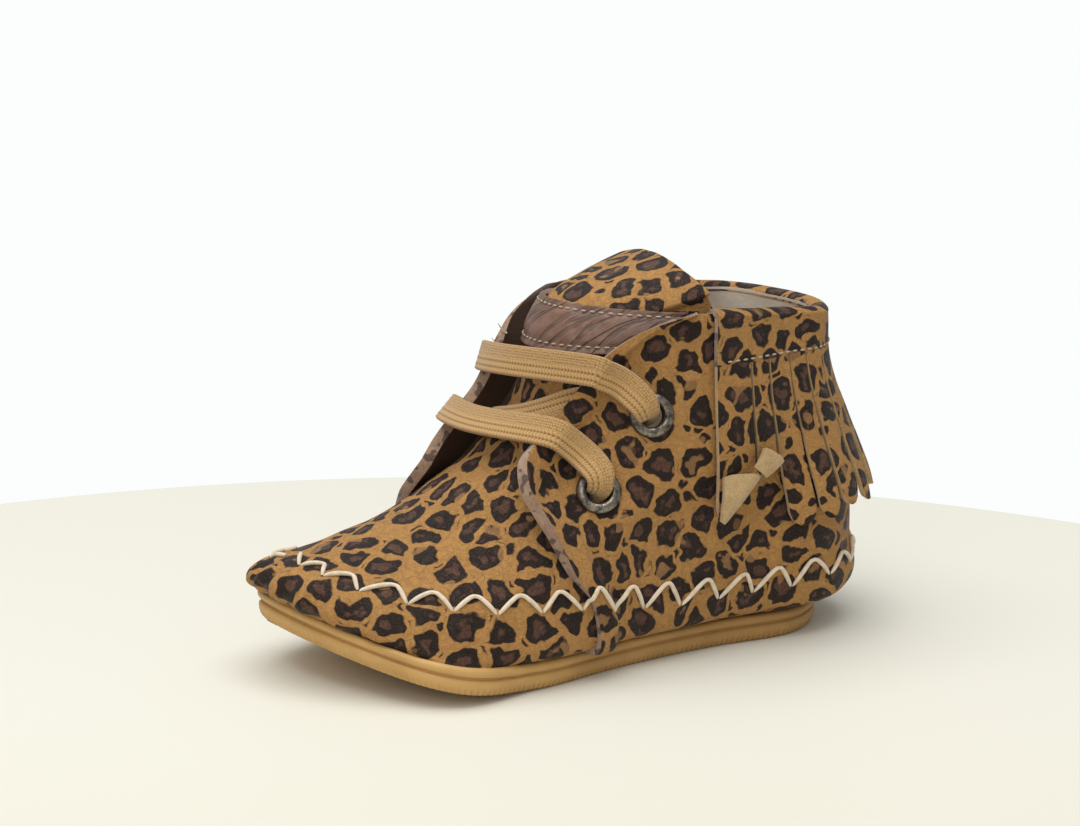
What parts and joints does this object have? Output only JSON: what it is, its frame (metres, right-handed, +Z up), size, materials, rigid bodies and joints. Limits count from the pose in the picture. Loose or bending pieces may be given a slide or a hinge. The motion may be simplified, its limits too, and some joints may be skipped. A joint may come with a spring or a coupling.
{
  "type": "toddler boot",
  "caption": "Left toddler boot: soft moccasin upper with a fringed collar, flat laces over a tongue, and a thin rubber sole.",
  "frame": {"origin": "middle of the heel's flat spot, on the floor", "axes": "-Y towards the toe, +X towards the outer side of the foot, +Z up"},
  "size_m": [0.0612, 0.14, 0.0817],
  "materials": {
    "leopard_suede": "printed nubuck, matt",
    "sole_rubber": "moulded, satin",
    "lining": "smooth, matt",
    "strap_leather": "smooth, waxed",
    "eyelet_metal": "dark, antiqued",
    "lace_cotton": "flat woven"
  },
  "bodies": {
    "root": {"outsole": "sole_rubber", "insole": "lining", "upper": "leopard_suede", "tongue": "leopard_suede", "tongue_strap": "strap_leather", "fringe_collar": "leopard_suede", "eyelet_outer_upper": "eyelet_metal", "eyelet_outer_lower": "eyelet_metal", "eyelet_inner_upper": "eyelet_metal", "eyelet_inner_lower": "eyelet_metal", "lace_bar_upper": "lace_cotton", "lace_bar_lower": "lace_cotton", "lace_crossing": "lace_cotton"}
  },
  "joints": []
}
